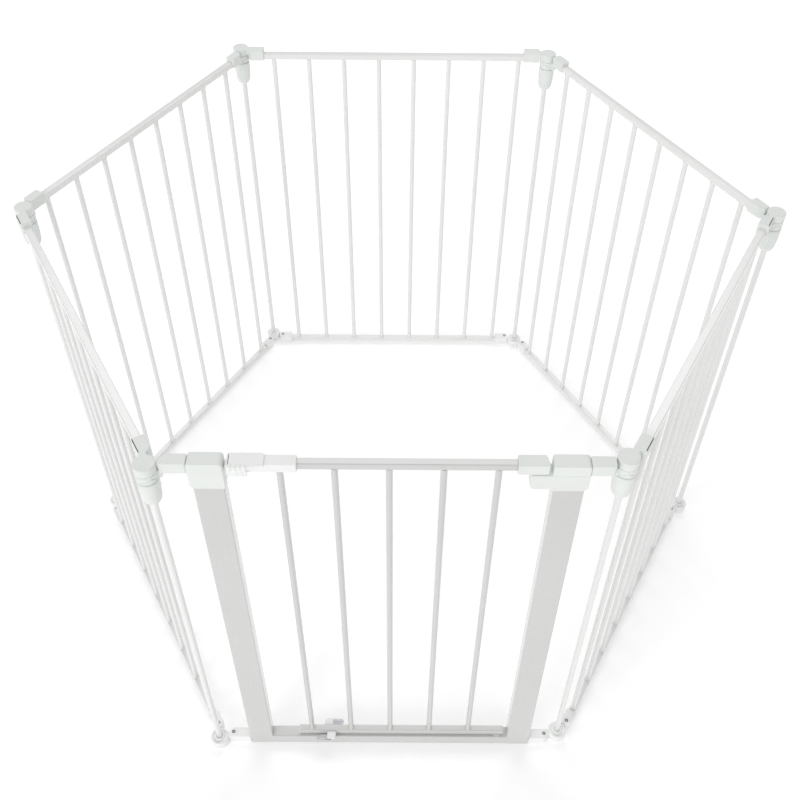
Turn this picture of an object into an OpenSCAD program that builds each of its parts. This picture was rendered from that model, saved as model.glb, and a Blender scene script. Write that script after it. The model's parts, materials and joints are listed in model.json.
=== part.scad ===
// Folding hexagonal playpen: five barred steel panels and one gate section, joined at six
// corner hinges. The gate section stands along the -Y side, with its outer face towards -Y.

/* [Ring] */
// Length of one side of the hexagon, from corner to corner
side_len = 600; // [560:10:900]
// Height of the corner caps above the floor
pen_h = 775; // [600:5:1000]
// How far each hinge axis stands off the panels' centre planes
hinge_off = 8; // [7:0.5:9]

/* [Panels] */
// Number of upright bars in a panel
bar_count = 8; // [6:1:8]
// Spacing of the bars
bar_pitch = 68.6; // [50:0.1:70]
// Bar diameter
bar_d = 9; // [7:0.5:10]
// Rail depth, across the panel
rail_d = 12; // [11:0.5:14]
// Rail height
rail_h = 11; // [9:0.5:13]

/* [Corner hinges] */
// Diameter of the hinge rods
rod_d = 9.5; // [8:0.5:12]
// Diameter of the corner cap, knuckle and lock sleeve
barrel_d = 29; // [26:1:32]
// Height of the corner cap and of the knuckle under it
knuckle_h = 14; // [12:1:16]
// Length of the lock sleeve under the knuckle
sleeve_h = 46; // [35:1:60]
// Diameter of the floor ring and floor cup
foot_d = 31; // [28:1:34]
// Height of the floor cup and of the ring above it
foot_h = 10; // [9:1:12]

/* [Rail brackets] */
// Length of a bracket along the rail
bracket_l = 30; // [24:1:36]
// Bracket width, across the panel
bracket_w = 18; // [16:1:20]
// Bracket height
bracket_h = 20; // [18:1:24]

/* [Gate frame] */
// Width of a gate post
post_w = 40; // [30:1:50]
// Depth of posts and threshold
frame_d = 20; // [16:1:24]
// Centre of the left post, from the middle of the side
post_left_x = -230; // [-236:1:-224]
// Centre of the right post, from the middle of the side
post_right_x = 224; // [221:1:230]
// Threshold height
threshold_h = 25; // [20:1:26]
// Wall of the posts and the threshold
tube_wall = 1.5; // [1:0.1:2]
// Wall of the rails, bars and hinge rods
thin_wall = 1.2; // [0.8:0.1:1.5]
// Height of the plastic caps on the posts
cap_h = 48; // [44:1:60]

/* [Door] */
// Number of upright bars in the door
door_bar_count = 5; // [3:1:5]
// Middle of the row of door bars
door_bar_x = -2.5; // [-5:0.5:8]
// Position of the door's hinge axis
door_axis_x = 186; // [180:1:187]
// Left end of the door's bottom rail
door_rail_left_x = -161; // [-190:1:-150]
// Depth of the door rails
door_rail_d = 11; // [10:0.5:12]
// Height of the door's bottom rail
door_rail_h = 12; // [10:0.5:13]
// Left end of the latch grip
grip_left_x = -204; // [-204:0.5:-200]
// Length of the latch grip
grip_l = 47; // [40:1:50]
// Right end of the latch housing
housing_right_x = -117; // [-120:1:-105]

/* [Hidden] */
$fn = 96;
// Radial clearance of a hinge rod in its knuckle, and at the corner where the ring closes
run_clear = 0.1;
open_clear = 0.3;
// Gap between parts that turn face to face
face_gap = 0.3;
// Corner hinges stand alternately outside and inside the panels' centre planes
hinge_rad = hinge_off / cos(30);
apothem = side_len * cos(30);
bracket_start = barrel_d / 2 + 1.5;
bracket_chamfer = 8;
rail_insert = 20;
top_rail_z = pen_h - 19;
bottom_rail_z = 4;
even_drop = 1;
neck_w = 10;
rod_foot_z = 4;
rod_top_z = pen_h - 4;
collar_h = 3;
collar_d = 17;
screw_head_d = 8;
screw_head_h = 1.8;
screw_shank_d = 3.6;
screw_shank_l = 5;
screw_from_end = 8;
boss_d = 11;
boss_h = 2;
door_rail_top_h = 11;
door_rail_top_z = pen_h - 14.5;
door_rail_z = threshold_h + 3;
first_door_bar_x = door_bar_x - bar_pitch * (door_bar_count - 1) / 2;
cap_depth = frame_d + 1.6;
cap_outer_lip = 4;
cap_round = 8;
lug_left_x = door_axis_x - 12;
lug_h = 26;
lug_top_z = pen_h - 18;
block_l = 40;
block_w = 19;
block_right_x = door_axis_x + 11;
block_chamfer = 4;
pin_d = 8;
pin_down = 14;
pin_seat = 7;
plug_l = 12;
plug_head = 1.5;
bush_d = 12;
bush_flange_d = 17;
bush_flange_h = 1.4;
grip_w = 20;
grip_h = 19;
grip_wall = 1.3;
grip_end = 3.5;
housing_w = 17;
housing_h = 15;
housing_top_z = pen_h - 1.6;
housing_inner_l = 70;
door_top_left_x = housing_right_x - 58;
door_top_right_x = block_right_x - 27;
rib_count = 6;
rib_pitch = 4;
stop_x = -108;
stop_base_l = 15;
stop_blade_l = 18;
stop_axis_y = 11.2;
stop_axis_z = threshold_h + 6.5;
stop_plate_t = 1.6;
stop_pin_d = 3;

STEEL = "whitesmoke";
PLASTIC = "honeydew";
METAL = "darkgray";

// ---------- layout helpers ----------

// +1 where the hinge axis of corner c stands outside the panels, -1 where it stands inside
function corner_sign(c) = c % 2 == 0 ? 1 : -1;
// Distance along a side from its middle to a hinge axis of that sign
function axis_x(s) = side_len / 2 + s * hinge_rad / 2;

// Side k of the ring: x along the side, -y outwards; side 0 is the gate
module at_side(k) {
    translate([-hinge_rad, 0, 0]) rotate(60 * k) translate([0, -apothem, 0]) children();
}

// One end of side k: z along the hinge axis, +x towards the side's middle,
// and the side's centre plane at y = hinge_off
module at_end(k, e) {
    s = corner_sign(e < 0 ? k : k + 1);
    at_side(k) translate([e * axis_x(s), -s * hinge_off, 0])
        mirror([e > 0 ? 1 : 0, 0, 0]) mirror([0, s < 0 ? 1 : 0, 0]) children();
}

module both_ends(k) {
    for (e = [-1, 1]) at_end(k, e) children();
}

// Box from two opposite corners
module span(low, high) {
    translate(low) cube(high - low);
}

module rod(d, z0, z1) {
    translate([0, 0, z0]) cylinder(d = d, h = z1 - z0);
}

// Round steel tube, open at both ends
module round_tube(d, z0, z1) {
    difference() {
        rod(d, z0, z1);
        rod(d - 2 * thin_wall, z0 - 1, z1 + 1);
    }
}

// Rectangular steel tube along x, open at both ends
module rail_tube(x0, x1, depth, z0, h) {
    difference() {
        span([x0, -depth / 2, z0], [x1, depth / 2, z0 + h]);
        span([x0 - 1, -depth / 2 + thin_wall, z0 + thin_wall],
             [x1 + 1, depth / 2 - thin_wall, z0 + h - thin_wall]);
    }
}

// ---------- corner hinges ----------

// Bracket body in an end frame: a block over the rail with its free corner cut off
module bracket_body(z0, z1, length) {
    far = bracket_start + length;
    half = bracket_w / 2;
    translate([0, 0, z0]) linear_extrude(z1 - z0) polygon([
        [bracket_start, hinge_off - half], [far, hinge_off - half], [far, hinge_off + half],
        [bracket_start + bracket_chamfer, hinge_off + half],
        [bracket_start, hinge_off + half - bracket_chamfer]]);
}

// Arm that joins a bracket to its ring around the hinge axis
module neck(z0, z1) {
    low_y = hinge_off - bracket_w / 2;
    span([0, low_y, z0], [bracket_start + 1, low_y + neck_w, z1]);
}

module rail_pocket(z0, h) {
    far = bracket_start + bracket_l;
    span([far - rail_insert, hinge_off - rail_d / 2, z0], [far + 1, hinge_off + rail_d / 2, z0 + h]);
}

// Top bracket with the round cap that closes the hinge; the rod sits in it from below
module cap_bracket() {
    difference() {
        union() {
            rod(barrel_d, pen_h - knuckle_h, pen_h);
            bracket_body(pen_h - bracket_h, pen_h, bracket_l);
            neck(pen_h - knuckle_h, pen_h);
            top_boss();
        }
        rod(rod_d, pen_h - knuckle_h - 1, rod_top_z);
        rail_pocket(top_rail_z, rail_h);
        top_screw_hole();
    }
}

// Knuckle that turns on the rod under the cap
module knuckle(clear) {
    low = pen_h - 2 * knuckle_h + face_gap;
    difference() {
        union() {
            rod(barrel_d, low, pen_h - knuckle_h - face_gap);
            neck(low, pen_h - knuckle_h - face_gap);
        }
        rod(rod_d + 2 * clear, low - 1, pen_h);
    }
}

module knuckle_bracket() {
    knuckle(run_clear);
    difference() {
        union() {
            bracket_body(pen_h - bracket_h, pen_h - even_drop, bracket_l);
            top_boss();
        }
        rail_pocket(top_rail_z, rail_h);
        top_screw_hole();
    }
}

// Low boss under a top bracket, around its screw
module top_boss() {
    translate([bracket_start + screw_from_end, hinge_off, pen_h - bracket_h - boss_h])
        cylinder(d = boss_d, h = boss_h);
}

module top_screw_hole() {
    translate([bracket_start + screw_from_end, hinge_off, pen_h - bracket_h - boss_h - 1])
        cylinder(d = screw_shank_d, h = screw_shank_l + 1);
}

// Closed cup on the floor that carries the rod
module cup_bracket() {
    difference() {
        union() {
            rotate_extrude() polygon([[0, 0], [foot_d / 2 - 2, 0], [foot_d / 2, 2],
                                      [foot_d / 2, foot_h], [0, foot_h]]);
            bottom_bracket_block();
            neck(1, foot_h);
        }
        rod(rod_d, rod_foot_z, foot_h + 1);
        rail_pocket(bottom_rail_z, rail_h);
        bottom_screw_hole();
    }
}

// Ring that turns on the rod above the cup, with a thin collar
module foot_ring(clear) {
    low = foot_h + face_gap;
    high = low + foot_h;
    difference() {
        union() {
            rod(foot_d, low, high);
            rod(collar_d, high, high + collar_h);
            neck(low, high);
        }
        rod(rod_d + 2 * clear, 0, high + collar_h + 1);
    }
}

module ring_bracket() {
    foot_ring(run_clear);
    difference() {
        bottom_bracket_block();
        rail_pocket(bottom_rail_z, rail_h);
        bottom_screw_hole();
    }
}

module bottom_bracket_block() {
    bracket_body(1, bracket_h, bracket_l);
}

module bottom_screw_hole() {
    translate([bracket_start + screw_from_end, hinge_off, bracket_h - screw_shank_l])
        cylinder(d = screw_shank_d, h = screw_shank_l + 1);
}

// Pan-head screws of one end: one on the bottom bracket, one under the top bracket
module end_screws(x, floor_z) {
    translate([x, hinge_off, floor_z]) screw();
    translate([x, hinge_off, pen_h - bracket_h - boss_h]) mirror([0, 0, 1]) screw();
}

module screw() {
    difference() {
        union() {
            cylinder(d = screw_head_d, h = screw_head_h);
            translate([0, 0, -screw_shank_l]) cylinder(d = screw_shank_d, h = screw_shank_l);
        }
        for (a = [0, 90]) rotate(a)
            span([-screw_head_d / 3, -0.5, screw_head_h - 0.8], [screw_head_d / 3, 0.5, 3]);
    }
}

// ---------- barred panels ----------

module panel_rail(k, z0) {
    reach = bracket_start + bracket_l - rail_insert;
    left = -axis_x(corner_sign(k)) + reach;
    right = axis_x(corner_sign(k + 1)) - reach;
    color(STEEL) at_side(k) rail_tube(left, right, rail_d, z0, rail_h);
}

module panel_bars(k) {
    first = -bar_pitch * (bar_count - 1) / 2;
    color(STEEL) at_side(k) for (i = [0:bar_count - 1])
        translate([first + i * bar_pitch, 0, 0])
            round_tube(bar_d, bottom_rail_z + rail_h, top_rail_z);
}

module panel_top_brackets(k) {
    color(PLASTIC) both_ends(k) if (k % 2 == 1) cap_bracket(); else knuckle_bracket();
}

module panel_bottom_brackets(k) {
    color(PLASTIC) both_ends(k) if (k % 2 == 1) cup_bracket(); else ring_bracket();
}

module panel_screws(k) {
    color(METAL) both_ends(k) end_screws(bracket_start + screw_from_end, bracket_h);
}

module panel_hinge_rods(k) {
    color(STEEL) both_ends(k) round_tube(rod_d, rod_foot_z, rod_top_z);
}

// Bullet-shaped sleeve that is pressed on the rod under the knuckle
module panel_lock_sleeves(k) {
    top = pen_h - 2 * knuckle_h;
    nose = 12;
    steps = 8;
    outline = [for (i = [0:steps]) let (a = 90 * i / steps)
        [rod_d / 2 + 2.5 + (barrel_d / 2 - rod_d / 2 - 2.5) * sin(a), nose * (1 - cos(a))]];
    color(PLASTIC) both_ends(k) translate([0, 0, top - sleeve_h])
        rotate_extrude() polygon(concat([[rod_d / 2, 0]], outline,
            [[barrel_d / 2, sleeve_h], [rod_d / 2, sleeve_h]]));
}

module panel_piece(k, piece) {
    if (piece == "top_rail") panel_rail(k, top_rail_z);
    if (piece == "bottom_rail") panel_rail(k, bottom_rail_z);
    if (piece == "bars") panel_bars(k);
    if (piece == "top_brackets") panel_top_brackets(k);
    if (piece == "bottom_brackets") panel_bottom_brackets(k);
    if (piece == "screws") panel_screws(k);
}

// ---------- gate frame ----------

module gate_post(x) {
    color(STEEL) at_side(0) difference() {
        span([x - post_w / 2, -frame_d / 2, 0], [x + post_w / 2, frame_d / 2, pen_h - 3]);
        span([x - post_w / 2 + tube_wall, -frame_d / 2 + tube_wall, tube_wall],
             [x + post_w / 2 - tube_wall, frame_d / 2 - tube_wall, pen_h]);
    }
}

module gate_post_left() { gate_post(post_left_x); }
module gate_post_right() { gate_post(post_right_x); }

module gate_threshold() {
    left = post_left_x + post_w / 2;
    right = post_right_x - post_w / 2;
    color(STEEL) at_side(0) difference() {
        span([left, -frame_d / 2, 0], [right, frame_d / 2, threshold_h]);
        span([left - 1, -frame_d / 2 + tube_wall, tube_wall],
             [right + 1, frame_d / 2 - tube_wall, threshold_h - tube_wall]);
        translate([door_axis_x, 0, 0]) rod(bush_d, threshold_h / 2, threshold_h + 1);
    }
}

// Hollow cap over a post, in a frame where +x points to the corner
module post_cap(inner_lip) {
    outer = post_w / 2 + cap_outer_lip;
    inner = -post_w / 2 - inner_lip;
    difference() {
        translate([0, cap_depth / 2, pen_h - cap_h]) rotate([90, 0, 0]) linear_extrude(cap_depth)
            polygon(concat([[inner, 0], [outer - cap_round, 0]],
                [for (a = [-60:30:0]) [outer - cap_round + cap_round * cos(a),
                                       cap_round + cap_round * sin(a)]],
                [[outer, cap_h - 1.5], [outer - 1.5, cap_h], [inner + 1.5, cap_h],
                 [inner, cap_h - 1.5]]));
        span([-post_w / 2, -frame_d / 2, 0], [post_w / 2, frame_d / 2, pen_h - 3]);
    }
}

module post_cap_left() {
    color(PLASTIC) at_side(0) translate([post_left_x, 0, 0]) mirror([1, 0, 0]) post_cap(1.5);
}

// The right cap has a shelf that carries the door's top hinge pin
module post_cap_right() {
    inner_lip = 3;
    shelf_right_x = post_right_x - post_w / 2 - inner_lip;
    corner_r = 6;
    color(PLASTIC) at_side(0) difference() {
        union() {
            translate([post_right_x, 0, 0]) post_cap(inner_lip);
            translate([0, cap_depth / 2, lug_top_z - lug_h]) rotate([90, 0, 0])
                linear_extrude(cap_depth) polygon(concat(
                    [[shelf_right_x + 1, 0], [shelf_right_x + 1, lug_h], [lug_left_x, lug_h]],
                    [for (a = [180:30:270]) [lug_left_x + corner_r * (1 + cos(a)),
                                             corner_r * (1 + sin(a))]]));
        }
        translate([door_axis_x, 0, 0])
            rod(pin_d + 2 * run_clear, lug_top_z - pin_down - 1, lug_top_z + 1);
    }
}

// Arms from the corner knuckles to the post caps
module gate_top_connectors() {
    color(PLASTIC) for (e = [-1, 1]) at_end(0, e) {
        knuckle(e < 0 ? open_clear : run_clear);
        difference() {
            union() {
                bracket_body(pen_h - bracket_h, pen_h - even_drop, connector_l(e));
                top_boss();
            }
            top_screw_hole();
        }
    }
}

// Free length between a corner hinge and the post cap
function connector_l(e) =
    axis_x(corner_sign(e < 0 ? 0 : 1)) - bracket_start - cap_outer_x(e);
function cap_outer_x(e) =
    e * (e < 0 ? post_left_x : post_right_x) + post_w / 2 + cap_outer_lip;

module gate_bottom_connectors() {
    color(PLASTIC) for (e = [-1, 1]) at_end(0, e) {
        foot_ring(e < 0 ? open_clear : run_clear);
        difference() {
            bracket_body(1, bracket_h, connector_l(e) + cap_outer_lip);
            bottom_screw_hole();
        }
    }
}

module gate_screws() {
    color(METAL) for (e = [-1, 1]) at_end(0, e)
        end_screws(bracket_start + screw_from_end, bracket_h);
}

// Plastic bush in the threshold for the door's bottom pin
module pivot_bush() {
    color(PLASTIC) at_side(0) translate([door_axis_x, 0, 0]) difference() {
        union() {
            rod(bush_d, threshold_h / 2, threshold_h);
            rod(bush_flange_d, threshold_h, threshold_h + bush_flange_h);
        }
        rod(pin_d + 2 * run_clear, 0, threshold_h + bush_flange_h + 1);
    }
}

// ---------- door ----------

module door_top_rail() {
    color(STEEL) at_side(0)
        rail_tube(door_top_left_x, door_top_right_x, door_rail_d, door_rail_top_z,
                  door_rail_top_h);
}

module door_bottom_rail() {
    color(STEEL) at_side(0) difference() {
        span([door_rail_left_x, -door_rail_d / 2, door_rail_z],
             [block_right_x, door_rail_d / 2, door_rail_z + door_rail_h]);
        span([door_rail_left_x - 1, -door_rail_d / 2 + thin_wall, door_rail_z + thin_wall],
             [door_axis_x - pin_d, door_rail_d / 2 - thin_wall,
              door_rail_z + door_rail_h - thin_wall]);
        translate([door_axis_x, 0, 0]) rod(pin_d, door_rail_z - 1, door_rail_z + pin_seat);
    }
}

module door_bars() {
    color(STEEL) at_side(0) for (i = [0:door_bar_count - 1])
        translate([first_door_bar_x + i * bar_pitch, 0, 0])
            round_tube(bar_d, door_rail_z + door_rail_h, door_rail_top_z);
}

module door_end_plug() {
    color(PLASTIC) at_side(0) union() {
        span([door_rail_left_x, -door_rail_d / 2 + thin_wall, door_rail_z + thin_wall],
             [door_rail_left_x + plug_l, door_rail_d / 2 - thin_wall,
              door_rail_z + door_rail_h - thin_wall]);
        span([door_rail_left_x - plug_head, -door_rail_d / 2, door_rail_z],
             [door_rail_left_x, door_rail_d / 2, door_rail_z + door_rail_h]);
    }
}

module door_hinge_block() {
    right = block_right_x;
    half = block_w / 2;
    low = lug_top_z + 0.5;
    color(PLASTIC) at_side(0) difference() {
        translate([0, 0, low]) linear_extrude(pen_h - low) polygon([
            [right - block_l, -half], [right - block_chamfer, -half],
            [right, -half + block_chamfer], [right, half - block_chamfer],
            [right - block_chamfer, half], [right - block_l, half]]);
        span([right - block_l - 1, -door_rail_d / 2, door_rail_top_z],
             [door_top_right_x, door_rail_d / 2, door_rail_top_z + door_rail_top_h]);
        translate([door_axis_x, 0, 0]) rod(pin_d, low - 1, lug_top_z + pin_seat);
    }
}

module door_top_pin() {
    color(METAL) at_side(0) translate([door_axis_x, 0, 0])
        rod(pin_d, lug_top_z - pin_down, lug_top_z + pin_seat);
}

module door_bottom_pin() {
    color(METAL) at_side(0) translate([door_axis_x, 0, 0])
        rod(pin_d, threshold_h - pin_seat, door_rail_z + pin_seat);
}

// Plastic body on the door's top rail; its inner part runs inside the latch grip
module latch_housing() {
    low = housing_top_z - housing_h;
    color(PLASTIC) at_side(0) difference() {
        span([housing_right_x - housing_inner_l, -housing_w / 2, low],
             [housing_right_x, housing_w / 2, housing_top_z]);
        span([door_top_left_x, -door_rail_d / 2, door_rail_top_z],
             [housing_right_x + 1, door_rail_d / 2, door_rail_top_z + door_rail_top_h]);
        translate([first_door_bar_x, 0, 0]) rod(bar_d, low - 1, door_rail_top_z + 1);
    }
}

// Sliding sleeve that the hand pulls back to free the door
module latch_grip() {
    right = grip_left_x + grip_l;
    low = pen_h - grip_h;
    color(PLASTIC) at_side(0) {
        difference() {
            span([grip_left_x, -grip_w / 2, low], [right, grip_w / 2, pen_h]);
            span([grip_left_x + grip_end, -grip_w / 2 + grip_wall, low + grip_wall],
                 [right + 1, grip_w / 2 - grip_wall, pen_h - grip_wall]);
        }
        for (i = [0:rib_count - 1])
            span([grip_left_x + 5 + i * rib_pitch, -grip_w / 2 - 1.5, low - 1.5],
                 [grip_left_x + 7 + i * rib_pitch, -grip_w / 2, low + 6]);
    }
}

// ---------- door stops ----------

// Front stop in the gate's frame; the rear one is the same part turned half round
module stop_side(rear) {
    at_side(0) translate([stop_x, 0, 0]) rotate(rear ? 180 : 0) children();
}

module stop_base(rear) {
    left = -5;
    color(PLASTIC) stop_side(rear) difference() {
        span([left, -15.5, stop_axis_z - 3], [left + stop_base_l, -door_rail_d / 2, stop_axis_z + 6]);
        translate([left - 1, -stop_axis_y, stop_axis_z]) rotate([0, 90, 0])
            cylinder(d = stop_pin_d + 2 * run_clear, h = stop_base_l - 3);
    }
}

// Flat metal tongue with its pin; it lies level and flips down in front of the threshold
module stop_blade(rear) {
    left = -5 - stop_blade_l;
    tip_y = -19.5;
    color(METAL) stop_side(rear) {
        span([left, tip_y, stop_axis_z - stop_plate_t / 2],
             [-5 - face_gap, -stop_axis_y + 1.6, stop_axis_z + stop_plate_t / 2]);
        translate([-9, -stop_axis_y, stop_axis_z]) rotate([0, 90, 0])
            cylinder(d = stop_pin_d, h = stop_base_l);
    }
}

module door_stop_base_front() { stop_base(false); }
module door_stop_base_rear() { stop_base(true); }
module door_stop_blade_front() { stop_blade(false); }
module door_stop_blade_rear() { stop_blade(true); }

// ---------- assembly ----------

gate_post_left();
gate_post_right();
gate_threshold();
post_cap_left();
post_cap_right();
gate_top_connectors();
gate_bottom_connectors();
gate_screws();
pivot_bush();
door_top_rail();
door_bottom_rail();
door_bars();
latch_housing();
door_hinge_block();
door_top_pin();
door_bottom_pin();
door_end_plug();
door_stop_base_front();
door_stop_base_rear();
latch_grip();
door_stop_blade_front();
door_stop_blade_rear();
for (k = [1:5]) {
    for (piece = ["top_rail", "bottom_rail", "bars", "top_brackets", "bottom_brackets", "screws"])
        panel_piece(k, piece);
    if (k % 2 == 1) {
        panel_hinge_rods(k);
        panel_lock_sleeves(k);
    }
}
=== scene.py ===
"""Looks of the folding hexagonal playpen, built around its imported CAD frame.

Shapes are drawn in millimetres, in the same local frames as the CAD part uses: a side's frame
(x along the side, -y outwards) and an end frame around a corner hinge. side_matrix() and
end_matrix() turn them into metres in the row frame.
"""
import json
import math

import bmesh
import bpy
from mathutils import Matrix, Vector

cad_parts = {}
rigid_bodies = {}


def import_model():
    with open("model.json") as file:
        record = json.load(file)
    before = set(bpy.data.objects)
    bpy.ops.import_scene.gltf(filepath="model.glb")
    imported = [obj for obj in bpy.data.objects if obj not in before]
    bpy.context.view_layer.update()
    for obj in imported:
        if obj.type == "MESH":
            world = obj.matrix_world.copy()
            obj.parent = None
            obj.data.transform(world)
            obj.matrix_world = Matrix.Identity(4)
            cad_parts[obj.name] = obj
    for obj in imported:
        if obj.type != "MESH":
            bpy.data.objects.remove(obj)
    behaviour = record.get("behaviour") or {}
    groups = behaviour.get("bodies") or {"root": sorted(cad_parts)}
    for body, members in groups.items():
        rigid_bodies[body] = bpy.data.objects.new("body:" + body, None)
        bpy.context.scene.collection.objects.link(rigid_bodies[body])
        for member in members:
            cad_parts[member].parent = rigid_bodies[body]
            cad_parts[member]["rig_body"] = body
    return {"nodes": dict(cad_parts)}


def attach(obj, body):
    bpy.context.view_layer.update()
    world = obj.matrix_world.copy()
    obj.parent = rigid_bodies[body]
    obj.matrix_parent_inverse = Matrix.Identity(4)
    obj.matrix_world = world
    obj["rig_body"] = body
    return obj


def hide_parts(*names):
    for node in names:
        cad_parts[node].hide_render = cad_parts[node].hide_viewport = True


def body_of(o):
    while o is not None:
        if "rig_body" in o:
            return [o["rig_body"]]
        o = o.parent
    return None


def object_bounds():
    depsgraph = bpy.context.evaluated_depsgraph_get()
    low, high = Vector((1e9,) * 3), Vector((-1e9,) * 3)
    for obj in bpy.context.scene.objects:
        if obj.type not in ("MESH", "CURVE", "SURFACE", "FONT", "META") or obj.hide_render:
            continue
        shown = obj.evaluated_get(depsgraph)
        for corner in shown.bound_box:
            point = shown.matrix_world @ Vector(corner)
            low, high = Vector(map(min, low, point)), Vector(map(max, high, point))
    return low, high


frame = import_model()
CAD_LOW, CAD_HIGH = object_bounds()

# ---------------------------------------------------------------- driving dimensions, mm
SIDE = 600.0
PEN_H = CAD_HIGH.z * 1000
HINGE_OFF = 8.0
HINGE_RAD = HINGE_OFF / math.cos(math.radians(30))
APOTHEM = SIDE * math.cos(math.radians(30))

BAR_R, BAR_PITCH, BAR_COUNT = 4.5, 68.6, 8
RAIL_D, RAIL_H = 12.0, 11.0
TOP_RAIL_Z, BOTTOM_RAIL_Z = PEN_H - 19, 4.0
ROD_R = 4.75
BARREL_R, KNUCKLE_H, SLEEVE_H = 14.5, 14.0, 46.0
FOOT_R, FOOT_H = 15.5, 10.0
GAP = 0.3
BRACKET_L, BRACKET_W, BRACKET_H = 30.0, 18.0, 20.0
BRACKET_START = BARREL_R + 1.5
NECK_W = 10.0
BOSS_R, BOSS_DROP = 5.5, 2.0
RAIL_INSET = 10.0
ROD_END = 4.0
# Clearance of a rod in its knuckle: at the ring's closed corners, and at the one left open
CLEAR, OPEN_CLEAR = 0.1, 0.3

POST_W, FRAME_D, THRESHOLD_H = 40.0, 20.0, 25.0
POST_LEFT_X, POST_RIGHT_X = -230.0, 224.0
CAP_H, CAP_D, CAP_LIP = 48.0, 21.6, 4.0

DOOR_RAIL_D, DOOR_RAIL_H, DOOR_RAIL_Z = 11.0, 12.0, 28.0
DOOR_TOP_Z, DOOR_TOP_H = PEN_H - 14.5, 11.0
DOOR_BAR_X, DOOR_BAR_COUNT = -2.5, 5
DOOR_AXIS_X = 186.0
DOOR_RAIL_LEFT = -161.0
BLOCK_RIGHT, BLOCK_L, BLOCK_W = DOOR_AXIS_X + 11, 40.0, 19.0
HOUSING_RIGHT, HOUSING_L = -117.0, 70.0
GRIP_LEFT, GRIP_L, GRIP_H, GRIP_W = -204.0, 47.0, 19.0, 20.0
STOP_X, STOP_AXIS_Y, STOP_AXIS_Z = -108.0, 11.2, THRESHOLD_H + 6.5
STOP_ROOT = 3.0

# Edges that bend more than the first are bevelled; those past the second are shaded sharp
BEVEL_ANGLE, SHARP_ANGLE = math.radians(28), math.radians(32)


# ---------------------------------------------------------------- placement
def corner_sign(c):
    """+1 where the hinge axis of corner c stands outside the panels, -1 where inside."""
    return 1 if c % 2 == 0 else -1


def side_matrix(k):
    """Side k's frame, mm to metres in the row frame."""
    return (Matrix.Scale(0.001, 4) @ Matrix.Translation((-HINGE_RAD, 0, 0))
            @ Matrix.Rotation(math.radians(60 * k), 4, "Z") @ Matrix.Translation((0, -APOTHEM, 0)))


def axis_x(s):
    """Distance along a side from its middle to the hinge axis of a corner with sign s."""
    return SIDE / 2 + s * HINGE_RAD / 2


def end_matrix(k, e):
    """End e of side k: z on the hinge axis, +x to the side's middle, its plane at y = HINGE_OFF."""
    s = corner_sign(k if e < 0 else k + 1)
    mirror = Matrix.Diagonal((-e, s, 1, 1))
    return side_matrix(k) @ Matrix.Translation((e * axis_x(s), -s * HINGE_OFF, 0)) @ mirror


# ---------------------------------------------------------------- shape helpers
def fillet(points, radii, steps=5):
    """Rounds the corners of a closed 2D outline; radii is one number or one for each corner."""
    count = len(points)
    radii = radii if isinstance(radii, (list, tuple)) else [radii] * count
    out = []
    for i, point in enumerate(points):
        here = Vector(point)
        to_prev = Vector(points[i - 1]) - here
        to_next = Vector(points[(i + 1) % count]) - here
        if radii[i] <= 0:
            out.append(tuple(here))
            continue
        half = to_prev.angle(to_next) / 2
        reach = min(radii[i] / math.tan(half), to_prev.length * 0.49, to_next.length * 0.49)
        radius = reach * math.tan(half)
        centre = here + (to_prev.normalized() + to_next.normalized()).normalized() * (
            radius / math.sin(half))
        start = here + to_prev.normalized() * reach - centre
        end = here + to_next.normalized() * reach - centre
        turn = math.atan2(start.x * end.y - start.y * end.x, start.dot(end))
        for j in range(steps + 1):
            a = turn * j / steps
            out.append((centre.x + start.x * math.cos(a) - start.y * math.sin(a),
                        centre.y + start.x * math.sin(a) + start.y * math.cos(a)))
    return out


def bevel_sharp(bm, width, segments):
    """Bevels every edge that bends more than BEVEL_ANGLE."""
    if width <= 0:
        return bm
    sharp = [e for e in bm.edges
             if len(e.link_faces) == 2 and e.calc_face_angle(0) > BEVEL_ANGLE]
    bmesh.ops.bevel(bm, geom=sharp, offset=width, segments=segments, profile=0.5,
                    affect="EDGES", clamp_overlap=True)
    return bm


def prism(points, z0, z1, rim=0.8, segments=3):
    """A closed outline in XY, extruded from z0 to z1, with rounded rims."""
    bm = bmesh.new()
    low = [bm.verts.new((x, y, z0)) for x, y in points]
    high = [bm.verts.new((x, y, z1)) for x, y in points]
    bm.faces.new(low[::-1])
    bm.faces.new(high)
    for i in range(len(points)):
        j = (i + 1) % len(points)
        bm.faces.new((low[i], low[j], high[j], high[i]))
    bmesh.ops.recalc_face_normals(bm, faces=bm.faces)
    return bevel_sharp(bm, rim, segments)


def block(low, high, rim=0.8, segments=3):
    """A box between two opposite corners, with rounded edges."""
    (x0, y0, z0), (x1, y1, z1) = low, high
    return prism([(x0, y0), (x1, y0), (x1, y1), (x0, y1)], z0, z1, rim, segments)


def stitch(bm, rings, closed=False):
    """Faces between rings of vertices; a ring of one vertex is a pole."""
    steps = max(len(points) for points in rings)
    pairs = list(zip(rings, rings[1:])) + ([(rings[-1], rings[0])] if closed else [])
    for a, b in pairs:
        for i in range(steps):
            j = (i + 1) % steps
            loop = [a[i % len(a)], a[j % len(a)], b[j % len(b)], b[i % len(b)]]
            corners = [v for n, v in enumerate(loop) if v not in loop[:n]]
            if len(corners) > 2:
                bm.faces.new(corners)
    bmesh.ops.recalc_face_normals(bm, faces=bm.faces)
    return bm


def lathe(profile, steps=64, closed=False):
    """Turns (radius, height) points round z. An open profile starts and ends on the axis."""
    bm = bmesh.new()
    rings = []
    for r, z in profile:
        if r < 1e-6:
            rings.append([bm.verts.new((0, 0, z))])
        else:
            rings.append([bm.verts.new((r * math.cos(2 * math.pi * i / steps),
                                        r * math.sin(2 * math.pi * i / steps), z))
                          for i in range(steps)])
    return stitch(bm, rings, closed)


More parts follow.
